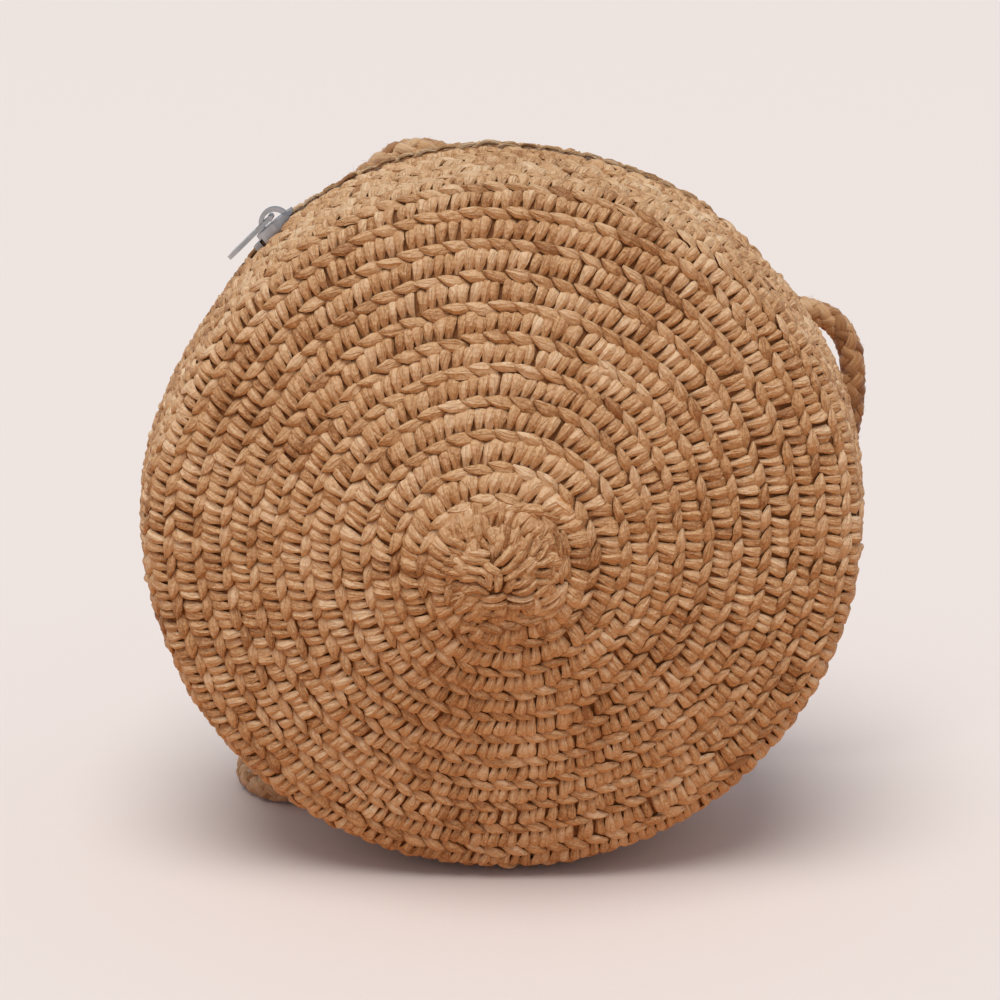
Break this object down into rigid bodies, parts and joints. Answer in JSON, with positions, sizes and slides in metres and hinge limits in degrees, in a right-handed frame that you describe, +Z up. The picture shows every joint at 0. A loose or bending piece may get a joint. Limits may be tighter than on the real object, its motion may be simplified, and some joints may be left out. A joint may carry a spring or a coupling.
{
  "type": "round shoulder bag",
  "caption": "Round shoulder bag with two domed crocheted straw faces, a crocheted side band, an arched zip along the top, a fabric lining and a knotted rope strap.",
  "frame": {"origin": "on the floor under the middle of the bag, which stands on the flat of its side wall", "axes": "+Z up, +X to the right of the front, +Y from the front dome to the back dome"},
  "size_m": [0.1883, 0.2148, 0.1775],
  "materials": {
    "straw": "crocheted flat paper straw, kraft tan, satin",
    "lining": "plain woven cotton, cream",
    "zip_tape": "woven polyester tape, dark taupe",
    "zip_coil": "nylon coil, dark taupe, satin",
    "zip_metal": "nickel-plated zinc, polished",
    "rope": "braided raffia rope, beige, fuzzy"
  },
  "bodies": {
    "bag": {"front_cup": "straw", "back_cup": "straw", "joining_band": "straw", "lining_front": "lining", "lining_back": "lining", "lining_side": "lining", "zip_tape_front": "zip_tape", "zip_tape_back": "zip_tape", "zip_coil_front": "zip_coil", "zip_coil_back": "zip_coil", "zip_top_stops": "zip_metal", "zip_bottom_stop": "zip_metal", "strap_knot_left": "rope", "strap_knot_right": "rope", "strap_left_run": "rope", "strap_right_run": "rope", "strap_roll": "rope", "strap_tie": "lining"},
    "slider": {"zip_slider": "zip_metal"},
    "puller": {"zip_puller": "zip_metal"}
  },
  "joints": [
    {"name": "zip_slide", "type": "hinge", "parent": "bag", "child": "slider", "pos_m": [0, 0, 0.088], "axis": [0, 1, 0], "range_deg": [0, 80.9]},
    {"name": "puller_swing", "type": "hinge", "parent": "slider", "child": "puller", "pos_m": [-0.05608, 0, 0.15986], "axis": [0, 1, 0], "range_deg": [0, 190]}
  ]
}
